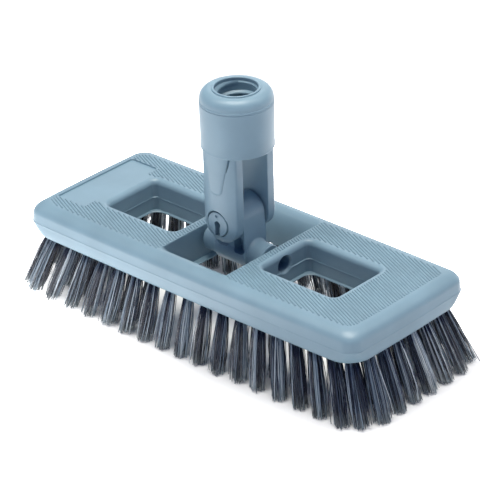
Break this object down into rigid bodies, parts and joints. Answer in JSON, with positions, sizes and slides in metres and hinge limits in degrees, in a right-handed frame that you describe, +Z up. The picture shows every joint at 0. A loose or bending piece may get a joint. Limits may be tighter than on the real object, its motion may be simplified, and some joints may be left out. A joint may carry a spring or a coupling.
{
  "type": "swivel scrubbing brush",
  "caption": "Long-handle scrubbing brush head: tufted block with windows and a two-axis swivel carrying a threaded handle socket.",
  "frame": {"origin": "centre of the bristle tips' outline, on the floor that the tips stand on", "axes": "+X along the brush's length, towards the end without the label panel; +Y across it, to the back; +Z up along the handle socket"},
  "size_m": [0.2428, 0.1008, 0.1316],
  "materials": {
    "blue_grey_plastic": "satin moulded polypropylene, blue grey",
    "dark_bristle": "dark blue-black polyester filaments with a slight sheen"
  },
  "bodies": {
    "block": {"brush_block": "blue_grey_plastic", "axle_pin": "blue_grey_plastic", "front_bristle_row": "dark_bristle", "back_bristle_row": "dark_bristle", "left_end_row": "dark_bristle", "right_end_row": "dark_bristle", "left_end_inner_row": "dark_bristle", "right_end_inner_row": "dark_bristle", "front_left_inner_row": "dark_bristle", "front_right_inner_row": "dark_bristle", "back_left_inner_row": "dark_bristle", "back_right_inner_row": "dark_bristle"},
    "link": {"swivel_link": "blue_grey_plastic"},
    "socket": {"handle_socket": "blue_grey_plastic", "pivot_pin": "blue_grey_plastic"}
  },
  "joints": [
    {"name": "link_tilt", "type": "hinge", "parent": "block", "child": "link", "pos_m": [0, 0, 0.0425], "axis": [1, 0, 0], "range_deg": [-40, 40]},
    {"name": "socket_swing", "type": "hinge", "parent": "link", "child": "socket", "pos_m": [0, 0, 0.0622], "axis": [0, 1, 0], "range_deg": [-55, 55]}
  ]
}
